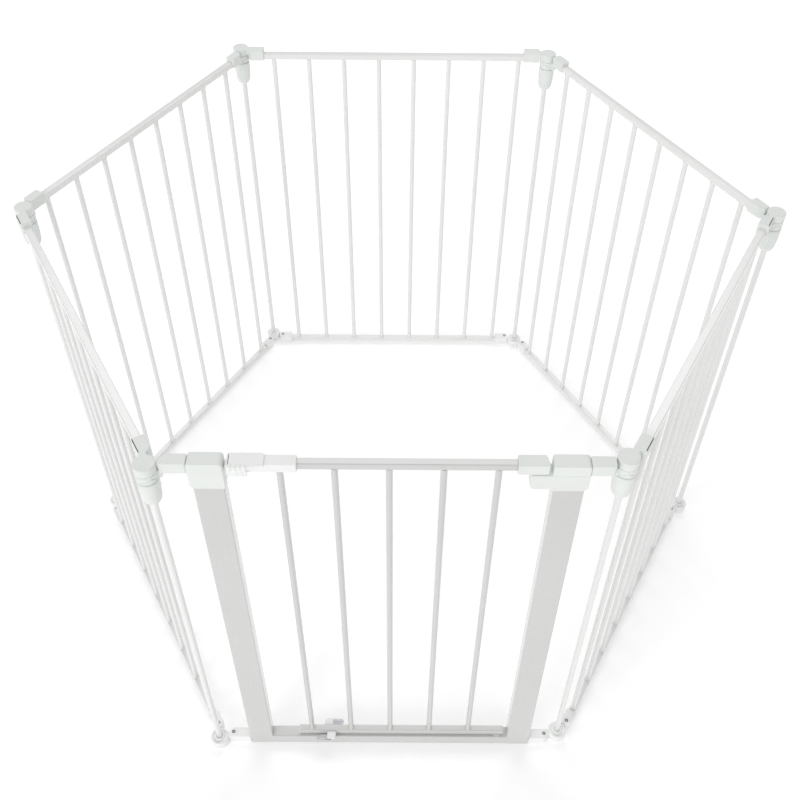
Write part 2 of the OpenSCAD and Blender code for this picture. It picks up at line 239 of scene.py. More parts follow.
def ring(r_in, r_out, z0, z1, round_r):
    """A ring with rounded outer edges around a plain bore."""
    outline = fillet([(r_in, z0), (r_out, z0), (r_out, z1), (r_in, z1)],
                     [0, round_r, round_r, 0], 4)
    return lathe(outline, closed=True)


def disc(r, z0, z1, round_r=0.8, steps=64):
    """A solid disc with rounded rims."""
    rounded = fillet([(0, z0), (r, z0), (r, z1), (0, z1)], [0, round_r, round_r, 0], 4)
    return lathe(rounded, steps)


def moved(bm, matrix):
    """Moves the shape itself, and turns its faces out again after a mirroring."""
    bm.transform(matrix)
    if matrix.determinant() < 0:
        bmesh.ops.reverse_faces(bm, faces=bm.faces)
    return bm


def along_x(bm):
    """Turns a shape drawn in (y, z) and extruded along z so that it runs along x."""
    return moved(bm, Matrix(((0, 0, 1, 0), (1, 0, 0, 0), (0, 1, 0, 0), (0, 0, 0, 1))))


def along_y(bm):
    """Turns a shape drawn in (x, z) and extruded along z so that it runs along y."""
    return moved(bm, Matrix(((1, 0, 0, 0), (0, 0, 1, 0), (0, 1, 0, 0), (0, 0, 0, 1))))


def as_object(bm, name="scratch"):
    """Uses the shape up in a new mesh object."""
    mesh = bpy.data.meshes.new(name)
    bm.to_mesh(mesh)
    bm.free()
    obj = bpy.data.objects.new(name, mesh)
    bpy.context.scene.collection.objects.link(obj)
    return obj


def combine(base, others, operation="UNION"):
    """Exact boolean of closed shapes; returns a new bmesh."""
    target = as_object(base)
    scratch = [target]
    for other in others:
        tool = as_object(other)
        scratch.append(tool)
        step = target.modifiers.new("step", "BOOLEAN")
        step.operation = operation
        step.solver = "EXACT"
        step.object = tool
    result = bmesh.new()
    depsgraph = bpy.context.evaluated_depsgraph_get()
    result.from_mesh(target.evaluated_get(depsgraph).to_mesh())
    for obj in scratch:
        mesh = obj.data
        bpy.data.objects.remove(obj)
        bpy.data.meshes.remove(mesh)
    bmesh.ops.remove_doubles(result, verts=result.verts, dist=1e-3)
    return result


def joined(shapes):
    """One bmesh that holds separate closed shapes."""
    out = bmesh.new()
    for bm in shapes:
        mesh = bpy.data.meshes.new("scratch")
        bm.to_mesh(mesh)
        bm.free()
        out.from_mesh(mesh)
        bpy.data.meshes.remove(mesh)
    return out


def dress(node, bm, material):
    """Makes the shown piece for a CAD node, from a shape that is already in metres."""
    body = body_of(frame["nodes"][node])[0]
    piece = as_object(bm, node + ".look")
    piece.data.materials.append(material)
    for face in piece.data.polygons:
        face.use_smooth = True
    piece.data.set_sharp_from_angle(angle=SHARP_ANGLE)
    normals = piece.modifiers.new("flat faces stay flat", "WEIGHTED_NORMAL")
    normals.keep_sharp = True
    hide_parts(node)
    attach(piece, body)


def put(bm, matrix):
    """A copy of the shape, placed by the matrix."""
    return moved(bm.copy(), matrix)


# ---------------------------------------------------------------- materials
def noise(tree, place, scale, detail):
    """Noise in the piece's own coordinates."""
    texture = tree.nodes.new("ShaderNodeTexNoise")
    texture.inputs["Scale"].default_value = scale
    texture.inputs["Detail"].default_value = detail
    tree.links.new(place.outputs["Object"], texture.inputs["Vector"])
    return texture


def cloudy_colour(tree, place, shader, light, dark, patch):
    """Base colour that drifts between two close tones, in patches."""
    clouds = noise(tree, place, patch, 5.0)
    tint = tree.nodes.new("ShaderNodeValToRGB")
    low, high = tint.color_ramp.elements
    low.position, high.position = 0.32, 0.62
    low.color, high.color = (*dark, 1), (*light, 1)
    tree.links.new(clouds.outputs["Fac"], tint.inputs["Fac"])
    tree.links.new(tint.outputs["Color"], shader.inputs["Base Color"])


def fine_skin(tree, place, shader, rough, grain, bump, depth):
    """Uneven gloss and a shallow relief, both from one fine grain."""
    skin = noise(tree, place, grain, 3.0)
    gloss = tree.nodes.new("ShaderNodeMapRange")
    gloss.inputs["To Min"].default_value = rough - 0.06
    gloss.inputs["To Max"].default_value = rough + 0.08
    relief = tree.nodes.new("ShaderNodeBump")
    relief.inputs["Strength"].default_value = bump
    relief.inputs["Distance"].default_value = depth
    tree.links.new(skin.outputs["Fac"], gloss.inputs["Value"])
    tree.links.new(gloss.outputs["Result"], shader.inputs["Roughness"])
    tree.links.new(skin.outputs["Fac"], relief.inputs["Height"])
    tree.links.new(relief.outputs["Normal"], shader.inputs["Normal"])


def surface(name, light, dark, rough, patch, grain, bump, depth, metal=0.0, coat=0.0, ior=1.5):
    """A painted, moulded or rolled surface: faint cloudy colour, uneven gloss and a fine skin."""
    material = bpy.data.materials.new(name)
    material.use_nodes = True
    tree = material.node_tree
    shader = tree.nodes["Principled BSDF"]
    shader.inputs["Metallic"].default_value = metal
    shader.inputs["IOR"].default_value = ior
    shader.inputs["Coat Weight"].default_value = coat
    shader.inputs["Coat Roughness"].default_value = 0.2
    place = tree.nodes.new("ShaderNodeTexCoord")
    cloudy_colour(tree, place, shader, light, dark, patch)
    fine_skin(tree, place, shader, rough, grain, bump, depth)
    return material


# Powder coat with a light orange peel. It is one white coat in two copies: the panels' copy is
# drawn whiter as painted light, and the gate's copy darker as painted shade, standing in for
# stronger light on the far panels than on the gate.
COATED = {"patch": 6.0, "grain": 700.0, "bump": 0.30, "depth": 0.00012, "coat": 1.0, "ior": 1.6}
GATE_STEEL_PAINTED_SHADE = surface("white powder coat", (0.60, 0.60, 0.595), (0.575, 0.575, 0.565), 0.28, **COATED)
PANEL_STEEL_PAINTED_LIGHT = surface("white powder coat, panels", (0.81, 0.81, 0.805), (0.785, 0.785, 0.775),
                      0.28, **COATED)

# Moulded plastic: a cool green cast in the caps and knuckles, whiter in the latch. The feet's copy
# is whiter still, as painted light that lifts the shade the parts at floor level get
MOULDED = {"patch": 18.0, "grain": 1900.0, "bump": 0.22, "depth": 0.00006}
PLASTIC = surface("white moulded plastic", (0.785, 0.812, 0.79), (0.755, 0.782, 0.757), 0.46,
                  **MOULDED)
LATCH_PLASTIC = surface("white latch plastic", (0.87, 0.88, 0.87), (0.84, 0.85, 0.835), 0.42,
                        **MOULDED)
FOOT_PLASTIC_PAINTED_LIGHT = surface("white foot plastic", (0.92, 0.93, 0.92), (0.895, 0.905, 0.895), 0.48,
                       **MOULDED)

# Bare metal of the screws, the door's pins and the tongues of the door stops
SCREW_STEEL = surface("zinc plated screw steel", (0.30, 0.30, 0.305), (0.24, 0.24, 0.245), 0.50,
                      patch=160.0, grain=2600.0, bump=0.30, depth=0.00005, metal=1.0)
CLIP_METAL = surface("rolled clip metal", (0.52, 0.515, 0.54), (0.42, 0.415, 0.44), 0.42,
                     patch=90.0, grain=1400.0, bump=0.35, depth=0.00006, metal=1.0)


# ---------------------------------------------------------------- tubes and bars
def rail(x0, x1, depth, z0, height, edge=1.5):
    """Rectangular tube along x with round long edges."""
    half = depth / 2
    section = fillet([(-half, z0), (half, z0), (half, z0 + height), (-half, z0 + height)], edge, 4)
    return along_x(prism(section, x0, x1, rim=0.3, segments=1))


def welded_bar(radius, z0, z1, bead=1.3):
    """Round bar between two rails, with the weld's small flare at both ends."""
    flare = [(radius + bead, 0), (radius + bead * 0.45, 0.6), (radius + bead * 0.12, 1.6),
             (radius, 3.2)]
    low = [(r, z0 + z) for r, z in flare]
    high = [(r, z1 - z) for r, z in reversed(flare)]
    return lathe([(0, z0)] + low + high + [(0, z1)], steps=40)


def bar_row(middle_x, count, z0, z1):
    """Upright bars at the common pitch, with middle_x at the row's middle."""
    first_x = middle_x - BAR_PITCH * (count - 1) / 2
    bar = welded_bar(BAR_R, z0, z1)
    return joined(put(bar, Matrix.Translation((first_x + i * BAR_PITCH, 0, 0)))
                  for i in range(count))


def round_rod(radius, z0, z1, edge=0.8, steps=48):
    """Solid rod with eased ends."""
    return lathe(fillet([(0, z0), (radius, z0), (radius, z1), (0, z1)], [0, edge, edge, 0], 3),
                 steps)


# ---------------------------------------------------------------- corner hinges, in end frames
BODY_LOW, BODY_HIGH = HINGE_OFF - BRACKET_W / 2, HINGE_OFF + BRACKET_W / 2
SCREW_X = BRACKET_START + 8
TOP_LOW = PEN_H - BRACKET_H


def chamfer_for(panel_even, corner_even):
    """How far a bracket's free corner is cut off: far only where the sections fold together."""
    if not corner_even:
        return 2.5
    return 8.0 if panel_even else 5.5


def bracket_body(z0, z1, length, chamfer, rim=1.2, corner_r=3.0):
    """Sleeve over a rail's end, with its free corner cut off."""
    far = BRACKET_START + length
    plan = [(BRACKET_START, BODY_LOW), (far, BODY_LOW), (far, BODY_HIGH),
            (BRACKET_START + chamfer, BODY_HIGH), (BRACKET_START, BODY_HIGH - chamfer)]
    return prism(fillet(plan, [2.2, 2.2, 2.2, corner_r, corner_r]), z0, z1, rim)


def neck(z0, z1, rim=0.8):
    """Arm from the hinge axis into the bracket."""
    return block((0, BODY_LOW, z0), (BRACKET_START + 3, BODY_LOW + NECK_W, z1), rim, 2)


def sleeve_lip(z0, z1, length):
    """Raised band round the mouth of a bottom bracket."""
    proud, wide = 0.5, 3.5
    far = BRACKET_START + length
    return block((far - wide, BODY_LOW - proud, z0),
                 (far + 0.2, BODY_HIGH + proud, z1 + proud), 0.7)


def edge_slot(outer_is_low):
    """Cutter for the narrow slot in a capped bracket's top, along the edge outside the pen."""
    edge = BODY_LOW + 0.9 if outer_is_low else BODY_HIGH - 2.3
    return block((BRACKET_START + 3, edge, PEN_H - 7),
                 (BRACKET_START + BRACKET_L - 1.5, edge + 1.4, PEN_H + 1), 0)


def top_boss():
    """Round boss under a top bracket, for its screw."""
    boss = disc(BOSS_R, TOP_LOW - BOSS_DROP, TOP_LOW + BOSS_DROP, 0.8, 32)
    return moved(boss, Matrix.Translation((SCREW_X, HINGE_OFF, 0)))


def cap_plate():
    """Round hinge cap and its arm, in one flush plate."""
    z0, z1 = PEN_H - KNUCKLE_H, PEN_H
    return combine(disc(BARREL_R, z0, z1, 1.5, 96), [neck(z0, z1, 1.5)])


def capped_bracket(chamfer, corner_even):
    """Top bracket that carries the round cap."""
    body = combine(bracket_body(TOP_LOW, PEN_H, BRACKET_L, chamfer, 1.5), [cap_plate(), top_boss()])
    return combine(body, [edge_slot(corner_even)], "DIFFERENCE")


def wavy_radius(angle, z, z0, z1):
    """Radius of a knuckle's side: rounded rims, and a groove that waves round its middle."""
    waves, depth, width = 5, 1.2, 0.55
    middle, swing = z1 - (z1 - z0) * 0.52, (z1 - z0) * 0.17
    rim = 0.9 * max(0, 1 - min(z - z0, z1 - z) / 1.2) ** 2
    off = z - middle - swing * math.sin(waves * angle)
    groove = depth * math.exp(-(off / width) ** 2)
    return BARREL_R - rim - groove


def wavy_barrel(z0, z1, bore):
    """Knuckle with a wavy groove round its side and a plain bore."""
    rows, steps = 34, 144
    angles = [2 * math.pi * i / steps for i in range(steps)]
    heights = [z0 + (z1 - z0) * row / rows for row in range(rows + 1)]
    levels = [(z, [wavy_radius(a, z, z0, z1) for a in angles]) for z in heights]
    levels += [(z, [bore] * steps) for z in (z1, z0)]
    bm = bmesh.new()
    rings = [[bm.verts.new((r * math.cos(a), r * math.sin(a), z)) for a, r in zip(angles, radii)]
             for z, radii in levels]
    return stitch(bm, rings, closed=True)


def knuckle(clear):
    """Wavy barrel with its arm, bored for the rod."""
    z0, z1 = PEN_H - 2 * KNUCKLE_H + GAP, PEN_H - KNUCKLE_H - GAP
    bore = ROD_R + clear
    drill = lathe([(0, z0 - 1), (bore, z0 - 1), (bore, z1 + 1), (0, z1 + 1)])
    arm = combine(neck(z0, z1), [drill], "DIFFERENCE")
    return combine(wavy_barrel(z0, z1, bore), [arm])


def knuckle_bracket(chamfer, length=BRACKET_L, clear=CLEAR):
    """Top bracket that carries the knuckle under the cap."""
    return combine(bracket_body(TOP_LOW, PEN_H - 1, length, chamfer, 1.5),
                   [knuckle(clear), top_boss()])


def lock_sleeve():
    """Bullet-shaped sleeve: a stepped shoulder, a slight belly and a round nose."""
    top = PEN_H - 2 * KNUCKLE_H
    r = BARREL_R
    outline = [(ROD_R, top), (r - 2.8, top), (r - 2.8, top - 1.6), (r - 0.8, top - 2.0),
               (r, top - 3.0), (r, top - 14), (r - 0.3, top - 22), (r - 1.0, top - 30)]
    steps, nose = 9, 14.0
    for i in range(1, steps + 1):
        a = math.pi / 2 * i / steps
        outline.append((ROD_R + 1.6 + (r - 1.2 - ROD_R - 1.6) * math.cos(a),
                        top - SLEEVE_H + nose * (1 - math.sin(a))))
    outline.append((ROD_R, top - SLEEVE_H))
    return lathe(outline, 96, closed=True)


def fluted_foot():
    """Cup on the floor with a round top edge and a fluted side."""
    flutes, share = 40, 0.018
    bm = lathe([(0, 0), (FOOT_R - 2.4, 0), (FOOT_R - 0.8, 0.9), (FOOT_R - 0.5, 2.2),
                (FOOT_R, 3.4), (FOOT_R, FOOT_H - 1.4), (FOOT_R - 0.4, FOOT_H - 0.4),
                (FOOT_R - 1.4, FOOT_H), (ROD_R + 2, FOOT_H), (0, FOOT_H)], 160)
    for vert in bm.verts:
        flat = Vector((vert.co.x, vert.co.y))
        if flat.length > FOOT_R - 0.3:
            in_flute = math.sin(flutes * math.atan2(flat.y, flat.x)) > 0.2
            vert.co.xy = flat * (1 - share * in_flute)
    return bm


def screw_ring(z):
    """Octagonal ring that surrounds a bottom screw."""
    outer_r, recess_r = 6.4, 3.3
    outer = [(outer_r * math.cos(a), outer_r * math.sin(a))
             for a in (math.pi / 8 + math.pi / 4 * i for i in range(8))]
    ring_body = combine(prism(outer, z - 1, z + 1.1, 0.5),
                        [disc(recess_r, z - 0.05, z + 3, 0, 40)], "DIFFERENCE")
    return moved(ring_body, Matrix.Translation((SCREW_X, HINGE_OFF, 0)))


def bottom_bracket(turning, chamfer, length=BRACKET_L, lip_gap=0.0):
    """Bracket round the turned shape given: a cup, or the ring above one."""
    body = bracket_body(1, BRACKET_H, length, max(chamfer, 6.0), corner_r=6.0)
    return combine(turning, [body, screw_ring(BRACKET_H),
                             sleeve_lip(1, BRACKET_H - 0.4, length - lip_gap)])


def cup_bracket(chamfer):
    """Bottom bracket that stands on the floor."""
    return bottom_bracket(combine(fluted_foot(), [neck(1, FOOT_H - 0.4)]), chamfer)


def foot_ring(clear=CLEAR):
    """Ring above the cup: a groove in its top face sets off the collar round the rod."""
    z0 = FOOT_H + GAP
    z1 = z0 + FOOT_H
    bore, collar = ROD_R + clear, 8.5
    profile = [(bore, z0), (FOOT_R - 0.6, z0), (FOOT_R, z0 + 0.6), (FOOT_R, z1 - 1.6),
               (FOOT_R - 0.5, z1 - 0.5), (FOOT_R - 1.6, z1), (collar + 3.6, z1),
               (collar + 3.0, z1 - 1.4), (collar + 0.4, z1 - 1.4), (collar, z1 - 0.8),
               (collar, z1 + 2.2), (collar - 0.8, z1 + 3), (bore + 1, z1 + 3), (bore, z1 + 2.2)]
    arm = combine(neck(z0, z1 - 1.2), [disc(FOOT_R - 3, z0 - 1, z1 + 1, 0)], "DIFFERENCE")
    return combine(lathe(profile, 96, closed=True), [arm])


def screw():
    """Low-head screw with a cross recess; z = 0 under the head."""
    head = [(0, -4), (1.6, -4), (1.6, 0), (3.2, 0), (3.2, 0.3), (2.9, 0.55), (2.3, 0.7), (0, 0.7)]
    slots = [moved(block((-1.8, -0.4, -0.6), (1.8, 0.4, 3), 0), Matrix.Rotation(a, 4, "Z"))
             for a in (0.4, 0.4 + math.pi / 2)]
    socket = lathe([(0, -3), (0.9, -2.4), (1.1, 3), (0, 3)], 24)
    return combine(lathe(head, 40), slots + [socket], "DIFFERENCE")


def end_screws(proto):
    """The two screws of one end: on the bottom bracket, and up under the top bracket."""
    low = Matrix.Translation((SCREW_X, HINGE_OFF, BRACKET_H))
    high = (Matrix.Translation((SCREW_X, HINGE_OFF, TOP_LOW - BOSS_DROP))
            @ Matrix.Diagonal((1, 1, -1, 1)))
    return joined([put(proto, low), put(proto, high)])


def bracket_pair(panel_even, corner_even):
    """Top and bottom bracket of one panel end."""
    chamfer = chamfer_for(panel_even, corner_even)
    if panel_even:
        return knuckle_bracket(chamfer), bottom_bracket(foot_ring(), chamfer)
    return capped_bracket(chamfer, corner_even), cup_bracket(chamfer)


# ---------------------------------------------------------------- barred panels
def dress_steel(name, k):
    """Rails and bars of panel k."""
    side = side_matrix(k)
    inset = BRACKET_START + RAIL_INSET
    left = -axis_x(corner_sign(k)) + inset
    right = axis_x(corner_sign(k + 1)) - inset
    for node, z in (("top_rail", TOP_RAIL_Z), ("bottom_rail", BOTTOM_RAIL_Z)):
        dress(name + node, put(rail(left, right, RAIL_D, z, RAIL_H), side), PANEL_STEEL_PAINTED_LIGHT)
    bars = bar_row(0.0, BAR_COUNT, BOTTOM_RAIL_Z + RAIL_H, TOP_RAIL_Z)
    dress(name + "bars", put(bars, side), PANEL_STEEL_PAINTED_LIGHT)


def dress_panels():
    """The five barred panels; the odd ones also carry the hinge rods and their lock sleeves."""
    screw_pair = end_screws(screw())
    brackets = {(even, inner): bracket_pair(even, inner) for even in (True, False)
                for inner in (True, False)}
    sleeve = lock_sleeve()
    rod = round_rod(ROD_R, ROD_END, PEN_H - ROD_END)
    for k in range(1, 6):
        name = f"panel_{k}_"
        dress_steel(name, k)
        ends = [end_matrix(k, e) for e in (-1, 1)]
        pairs = [brackets[k % 2 == 0, corner % 2 == 0] for corner in (k, k + 1)]
        tops, bottoms = zip(*pairs)
        # The bottom brackets take the foot plastic, whitened as painted light against the shade
        # near the floor
        for node, shapes, plastic in (("top_brackets", tops, PLASTIC),
                                      ("bottom_brackets", bottoms, FOOT_PLASTIC_PAINTED_LIGHT)):
            both = joined(put(shape, m) for shape, m in zip(shapes, ends))
            dress(name + node, both, plastic)
        dress(name + "screws", joined(put(screw_pair, m) for m in ends), SCREW_STEEL)
        if k % 2:
            dress(name + "hinge_rods", joined(put(rod, m) for m in ends), PANEL_STEEL_PAINTED_LIGHT)
            dress(name + "lock_sleeves", joined(put(sleeve, m) for m in ends), PLASTIC)


# ---------------------------------------------------------------- gate frame, in side 0's frame
GATE = side_matrix(0)
HINGE_LINE = GATE @ Matrix.Translation((DOOR_AXIS_X, 0, 0))


def weld_bead(x, z, facing):
    """Concave weld in the corner between a post and the threshold."""
    size = 3.0
    arc = [(size - size * math.sin(a), size - size * math.cos(a))
           for a in (math.pi / 2 * i / 6 for i in range(7))]
    section = [(0, 0)] + [(facing * u, w) for u, w in arc[::-1]]
    bead = along_y(prism(section, -FRAME_D / 2 + 1.5, FRAME_D / 2 - 1.5, 0))
    return moved(bead, Matrix.Translation((x, 0, z)))


def post(x):
    """Wide upright tube round x, closed under its cap."""
    half_w, half_d = POST_W / 2, FRAME_D / 2
    plan = fillet([(x - half_w, -half_d), (x + half_w, -half_d), (x + half_w, half_d),
                   (x - half_w, half_d)], 2.0)
    return prism(plan, 0, PEN_H - 3, 0.5, 2)


def threshold():
    """Low tube between the posts, bored for the pivot bush, with a weld at either end."""
    left = POST_LEFT_X + POST_W / 2
    right = POST_RIGHT_X - POST_W / 2
    into_post, slimmer, weld_z = 2, 0.04, THRESHOLD_H - 0.4
    tube = rail(left - into_post, right + into_post, FRAME_D - slimmer, 0, THRESHOLD_H, 1.6)
    bore = moved(disc(6, THRESHOLD_H / 2, THRESHOLD_H + 2, 0),
                 Matrix.Translation((DOOR_AXIS_X, 0, 0)))
    return joined([combine(tube, [bore], "DIFFERENCE"), weld_bead(left, weld_z, 1),
                   weld_bead(right, weld_z, -1)])


def cap_outline(lug):
    """Front view of a post cap from its bottom inner corner; lug adds the hinge shelf."""
    outer = POST_RIGHT_X + POST_W / 2 + CAP_LIP
    inner = POST_RIGHT_X - POST_W / 2 - (3.0 if lug else 1.5)
    low = PEN_H - CAP_H
    points = [(inner, low), (outer, low), (outer, PEN_H), (inner, PEN_H)]
    radii = [2, 8, 5, 2.5 if lug else 5]
    if lug:
        shelf, foot, far = PEN_H - 18, PEN_H - 44, DOOR_AXIS_X - 12
        points += [(inner, shelf), (far, shelf), (far, foot), (inner, foot)]
        radii += [0, 2, 6, 0]
    return fillet(points, radii, 7)


def post_cap(lug):
    """Cap over the right post, drawn in place; the one with the lug also has a front seam."""
    body = along_y(prism(cap_outline(lug), -CAP_D / 2, CAP_D / 2, 1.6, 4))
    hollow = block((POST_RIGHT_X - POST_W / 2, -FRAME_D / 2, PEN_H - CAP_H - 5),
                   (POST_RIGHT_X + POST_W / 2, FRAME_D / 2, PEN_H - 3), 0)
    seam = block((POST_RIGHT_X - 40, -CAP_D / 2 - 1, PEN_H - 18.6),
                 (POST_RIGHT_X + 40, -CAP_D / 2 + 0.35, PEN_H - 18.1), 0)
    return combine(body, [hollow, seam] if lug else [hollow], "DIFFERENCE")


def dress_gate_frame():
    """Posts, threshold and post caps."""
    mirrored = Matrix.Translation((POST_LEFT_X, 0, 0)) @ Matrix.Diagonal((-1, 1, 1, 1)) @ (
        Matrix.Translation((-POST_RIGHT_X, 0, 0)))
    dress("gate_post_left", put(post(POST_LEFT_X), GATE), GATE_STEEL_PAINTED_SHADE)
    dress("gate_post_right", put(post(POST_RIGHT_X), GATE), GATE_STEEL_PAINTED_SHADE)
    dress("gate_threshold", put(threshold(), GATE), GATE_STEEL_PAINTED_SHADE)
    dress("post_cap_left", put(post_cap(False), GATE @ mirrored), PLASTIC)
    dress("post_cap_right", put(post_cap(True), GATE), PLASTIC)


def connector_length(e):
    """From the bracket's start at end e of the gate to the post cap's edge."""
    centre = POST_LEFT_X if e < 0 else POST_RIGHT_X
    cap_edge = e * centre + POST_W / 2 + CAP_LIP
    return axis_x(corner_sign(0 if e < 0 else 1)) - BRACKET_START - cap_edge


def dress_gate_connectors():
    """Knuckles, foot rings and screws between the posts and the corners."""
    tops, bottoms, screws = [], [], []
    screw_pair = end_screws(screw())
    for e in (-1, 1):
        clear = OPEN_CLEAR if e < 0 else CLEAR
        chamfer = chamfer_for(True, e < 0)
        length = connector_length(e)
        place = end_matrix(0, e)
        tops.append(put(knuckle_bracket(chamfer, length, clear), place))
        foot = bottom_bracket(foot_ring(clear), chamfer, length + CAP_LIP, 0.2)
        bottoms.append(put(foot, place))
        screws.append(put(screw_pair, place))
    dress("gate_top_connectors", joined(tops), PLASTIC)
    dress("gate_bottom_connectors", joined(bottoms), FOOT_PLASTIC_PAINTED_LIGHT)
    dress("gate_screws", joined(screws), SCREW_STEEL)


def dress_pivot_bush():
    """Flanged bush in the threshold, for the door's lower pin."""
    bush = joined([ring(4.1, 8.5, THRESHOLD_H, THRESHOLD_H + 1.4, 0.5),
                   ring(4.1, 6.0, THRESHOLD_H / 2, THRESHOLD_H, 0)])
    dress("pivot_bush", put(bush, HINGE_LINE), PLASTIC)


# ---------------------------------------------------------------- door, in side 0's frame
def rail_mouth(x0, x1):
    """Cutter that frees the door's top rail where it enters a plastic part."""
    fit = 0.6
    half = DOOR_RAIL_D / 2 + fit
    return block((x0, -half, DOOR_TOP_Z - fit), (x1, half, DOOR_TOP_Z + DOOR_TOP_H + fit), 0)


def hinge_block():
    """Block on the right end of the top rail, over the post cap's shelf."""
    left, right, half = BLOCK_RIGHT - BLOCK_L, BLOCK_RIGHT, BLOCK_W / 2
    plan = [(left, -half), (right - 1, -half), (right, -half + 3), (right - 4, half), (left, half)]
    body = prism(fillet(plan, [2, 1.8, 2, 2, 2]), PEN_H - 17.5, PEN_H, 1.3)
    return combine(body, [rail_mouth(left - 1, left + 2.5)], "DIFFERENCE")


def latch_housing():
    """Sleeve over the rail's left end; its left part runs on inside the grip."""
    left, right = HOUSING_RIGHT - HOUSING_L, HOUSING_RIGHT
    half, high, low = 8.5, PEN_H - 1.6, PEN_H - 16.6
    plan = fillet([(left, -half), (right, -half), (right, half), (left, half)], [2, 2.5, 2.5, 2])
    return combine(prism(plan, low, high, 1.3), [rail_mouth(right - 2, right + 1)], "DIFFERENCE")


GRIP_RIGHT, GRIP_LOW, GRIP_HALF = GRIP_LEFT + GRIP_L, PEN_H - GRIP_H, GRIP_W / 2 - 0.4
GRIP_FRONT, GRIP_PLATE_RIGHT = -13.5, GRIP_LEFT + 25


def grip_discs():
    """Round bumps that make the scallops: seven along the rear edge, four finger ones in front."""
    rear = [moved(disc(3.0, GRIP_LOW + 6, PEN_H - 0.05, 1.1, 40),
                  Matrix.Translation((GRIP_LEFT + 6 + 5.5 * i, GRIP_HALF - 2.1, 0)))
            for i in range(7)]
    fingers = [moved(disc(3.4, PEN_H - 8, PEN_H + 0.4, 1.2, 40),
                     Matrix.Translation((GRIP_LEFT + 4.5 + 6.2 * i, GRIP_FRONT + 1.6, 0)))
               for i in range(4)]
    return rear + fingers


def grip_profile():
    """Front view that the grip is trimmed to: deep at its lower plate, shallow to the right."""
    beyond, step_z = GRIP_RIGHT + 3, PEN_H - 8
    side = [(GRIP_LEFT - 6, GRIP_LOW - 1), (GRIP_PLATE_RIGHT, GRIP_LOW - 1),
            (GRIP_PLATE_RIGHT, step_z), (beyond, PEN_H - 5), (beyond, PEN_H + 3),
            (GRIP_LEFT - 6, PEN_H + 3)]
    return along_y(prism(fillet(side, [0, 0, 2, 0, 0, 0]), GRIP_FRONT - 3, GRIP_HALF + 3, 0))


def grip_cutters():
    """The hollow round the rail and housing, the slot in the top, and two notches in front."""
    wall = 1.3
    inside = block((GRIP_LEFT + 3.6, -GRIP_HALF + wall - 0.4, GRIP_LOW - 3),
                   (GRIP_RIGHT + 2, GRIP_HALF - wall + 0.4, PEN_H - wall), 0)
    slot = block((GRIP_LEFT + 2.3, GRIP_FRONT + 3.5, PEN_H - 9),
                 (GRIP_LEFT + 3.3, GRIP_HALF - 2.5, PEN_H + 1), 0)
    notches = [block((GRIP_LEFT + 13 + 7.5 * i, GRIP_FRONT - 1, GRIP_LOW + 1.2),
                     (GRIP_LEFT + 13.7 + 7.5 * i, GRIP_FRONT + 0.8, GRIP_LOW + 9), 0)
               for i in range(2)]
    return [inside, slot] + notches


def latch_grip():
    """Sliding sleeve with a small nose, a scalloped rear edge and a deeper front."""
    plan = [(GRIP_LEFT, GRIP_FRONT), (GRIP_PLATE_RIGHT, GRIP_FRONT), (GRIP_RIGHT, -GRIP_HALF),
            (GRIP_RIGHT, GRIP_HALF), (GRIP_LEFT, GRIP_HALF)]
    body = prism(fillet(plan, [2, 2, 2, 4, 2], 6), GRIP_LOW, PEN_H, 1.2)
    nose = block((GRIP_LEFT - 3, -6, GRIP_LOW + 2), (GRIP_LEFT + 2, 6, PEN_H - 8), 0.9)
    body = combine(body, grip_discs() + [nose])
    body = combine(body, [grip_profile()], "INTERSECT")
    return combine(body, grip_cutters(), "DIFFERENCE")


def stop_matrix(rear):
    """The frame of a door stop: the rear one is the front one turned round."""
    turn = math.pi if rear else 0
    return GATE @ Matrix.Translation((STOP_X, 0, 0)) @ Matrix.Rotation(turn, 4, "Z")


def stop_base():
    """Round plastic body on the side of the door's bottom rail; the tongue lies in its notch."""
    back, front = -DOOR_RAIL_D / 2, -18.5
    plan = fillet([(-5, front), (10, front), (10, back), (-5, back)], [2, 6.5, 2, 2], 8)
    body = prism(plan, STOP_AXIS_Z - 3, STOP_AXIS_Z + 5.5, 1.2)
    notch = block((-6, front - 2, STOP_AXIS_Z - 9),
                  (STOP_ROOT + 0.4, -STOP_AXIS_Y + 2.6, STOP_AXIS_Z + 1.8), 0)
    return combine(body, [notch], "DIFFERENCE")


def stop_blade():
    """Flat tongue with a round end and a raised rib, on its pin."""
    tip, thick = -23, 1.6
    near, far = -STOP_AXIS_Y + 1.6, -19.5
    plan = fillet([(tip, far), (STOP_ROOT, far), (STOP_ROOT, near), (tip, near)], [5, 2, 1, 4.4], 8)
    blade = prism(plan, STOP_AXIS_Z - thick / 2, STOP_AXIS_Z + thick / 2, 0.5)
    rib = block((tip + 4, -15.2, STOP_AXIS_Z), (STOP_ROOT - 2, -13.2, STOP_AXIS_Z + 1.4), 0.5)
    pin = moved(along_x(round_rod(1.5, STOP_ROOT - 1, 7, 0.3, 24)),
                Matrix.Translation((0, -STOP_AXIS_Y, STOP_AXIS_Z)))
    return joined([combine(blade, [rib]), pin])


def door_bottom_rail():
    """Deep rail just above the threshold, cut away over the pivot bush."""
    low, high = THRESHOLD_H + 1, DOOR_RAIL_Z + DOOR_RAIL_H
    tube = rail(DOOR_RAIL_LEFT, BLOCK_RIGHT, DOOR_RAIL_D, low, high - low)
    relief = block((DOOR_AXIS_X - 11, -DOOR_RAIL_D, low - 1),
                   (BLOCK_RIGHT + 1, DOOR_RAIL_D, DOOR_RAIL_Z), 0)
    return combine(tube, [relief], "DIFFERENCE")


